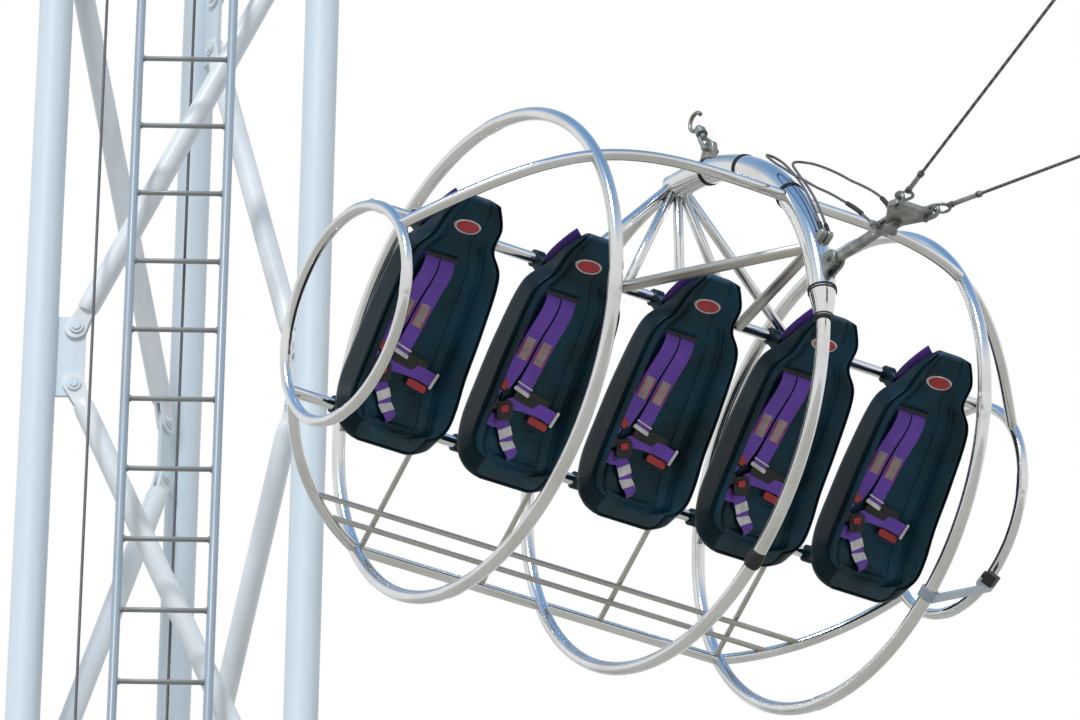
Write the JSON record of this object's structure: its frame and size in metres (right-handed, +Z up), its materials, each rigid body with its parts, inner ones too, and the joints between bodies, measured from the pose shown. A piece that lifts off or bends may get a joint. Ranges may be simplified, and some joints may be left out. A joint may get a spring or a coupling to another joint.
{
  "type": "reverse bungee ride",
  "caption": "Five-seat hooped gondola on two swing cables between lattice masts, with a laddered launch mast.",
  "frame": {"origin": "centre of the underside of the launch mast's base plate, at ground level", "axes": "+Z up, +X from the launch mast to the swing masts, +Y along the row of seats to the sitters' left"},
  "size_m": [16.7098, 9.5598, 22.124],
  "materials": {
    "arm_paint": "blue grey paint",
    "black_plastic": "black plastic",
    "ladder_steel": "weathered blue grey paint, bare worn rungs",
    "mast_paint": "pale blue white gloss paint over steel",
    "seat_vinyl": "very dark navy vinyl",
    "shell": "black glass-fibre shell",
    "stainless_tube": "polished stainless tube",
    "webbing": "purple harness webbing",
    "wire_rope": "dark greased steel wire rope",
    "zinc_hardware": "dull galvanised lifting gear"
  },
  "bodies": {
    "ride_frame": {"left_mast_base": "mast_paint", "left_mast_face_braces": "mast_paint", "left_mast_head": "mast_paint", "left_mast_left_braces": "mast_paint", "left_mast_legs": "mast_paint", "left_mast_right_braces": "mast_paint", "rear_mast_base": "mast_paint", "rear_mast_face_braces": "mast_paint", "rear_mast_head": "mast_paint", "rear_mast_ladder": "ladder_steel", "rear_mast_left_braces": "mast_paint", "rear_mast_legs": "mast_paint", "rear_mast_right_braces": "mast_paint", "rear_mast_ropes": "wire_rope", "rear_mast_sheave": "zinc_hardware", "right_mast_base": "mast_paint", "right_mast_face_braces": "mast_paint", "right_mast_head": "mast_paint", "right_mast_left_braces": "mast_paint", "right_mast_legs": "mast_paint", "right_mast_right_braces": "mast_paint"},
    "gondola": {"arch_struts": "stainless_tube", "bottom_rail": "stainless_tube", "cable_shackles": "zinc_hardware", "camera_arm": "arm_paint", "centre_arch": "stainless_tube", "centre_lower_hoop": "stainless_tube", "foot_rest": "stainless_tube", "harness_1": "webbing", "harness_2": "webbing", "harness_3": "webbing", "harness_4": "webbing", "harness_5": "webbing", "left_end_hoop": "stainless_tube", "left_hoop": "stainless_tube", "left_swing_cable": "wire_rope", "link_bar": "zinc_hardware", "link_pins": "zinc_hardware", "rear_rail": "stainless_tube", "release_gear": "zinc_hardware", "ride_camera": "black_plastic", "right_end_hoop": "stainless_tube", "right_hoop": "stainless_tube", "right_swing_cable": "wire_rope", "seat_pad_1": "seat_vinyl", "seat_pad_2": "seat_vinyl", "seat_pad_3": "seat_vinyl", "seat_pad_4": "seat_vinyl", "seat_pad_5": "seat_vinyl", "seat_rails": "stainless_tube", "seat_shell_1": "shell", "seat_shell_2": "shell", "seat_shell_3": "shell", "seat_shell_4": "shell", "seat_shell_5": "shell", "sling_left": "wire_rope", "sling_right": "wire_rope", "top_rail": "stainless_tube", "yoke_plate": "zinc_hardware"}
  },
  "joints": [
    {"name": "swing", "type": "hinge", "parent": "ride_frame", "child": "gondola", "pos_m": [14.95, 0, 15.555], "axis": [0, -1, 0], "range_deg": [0, 150]}
  ]
}
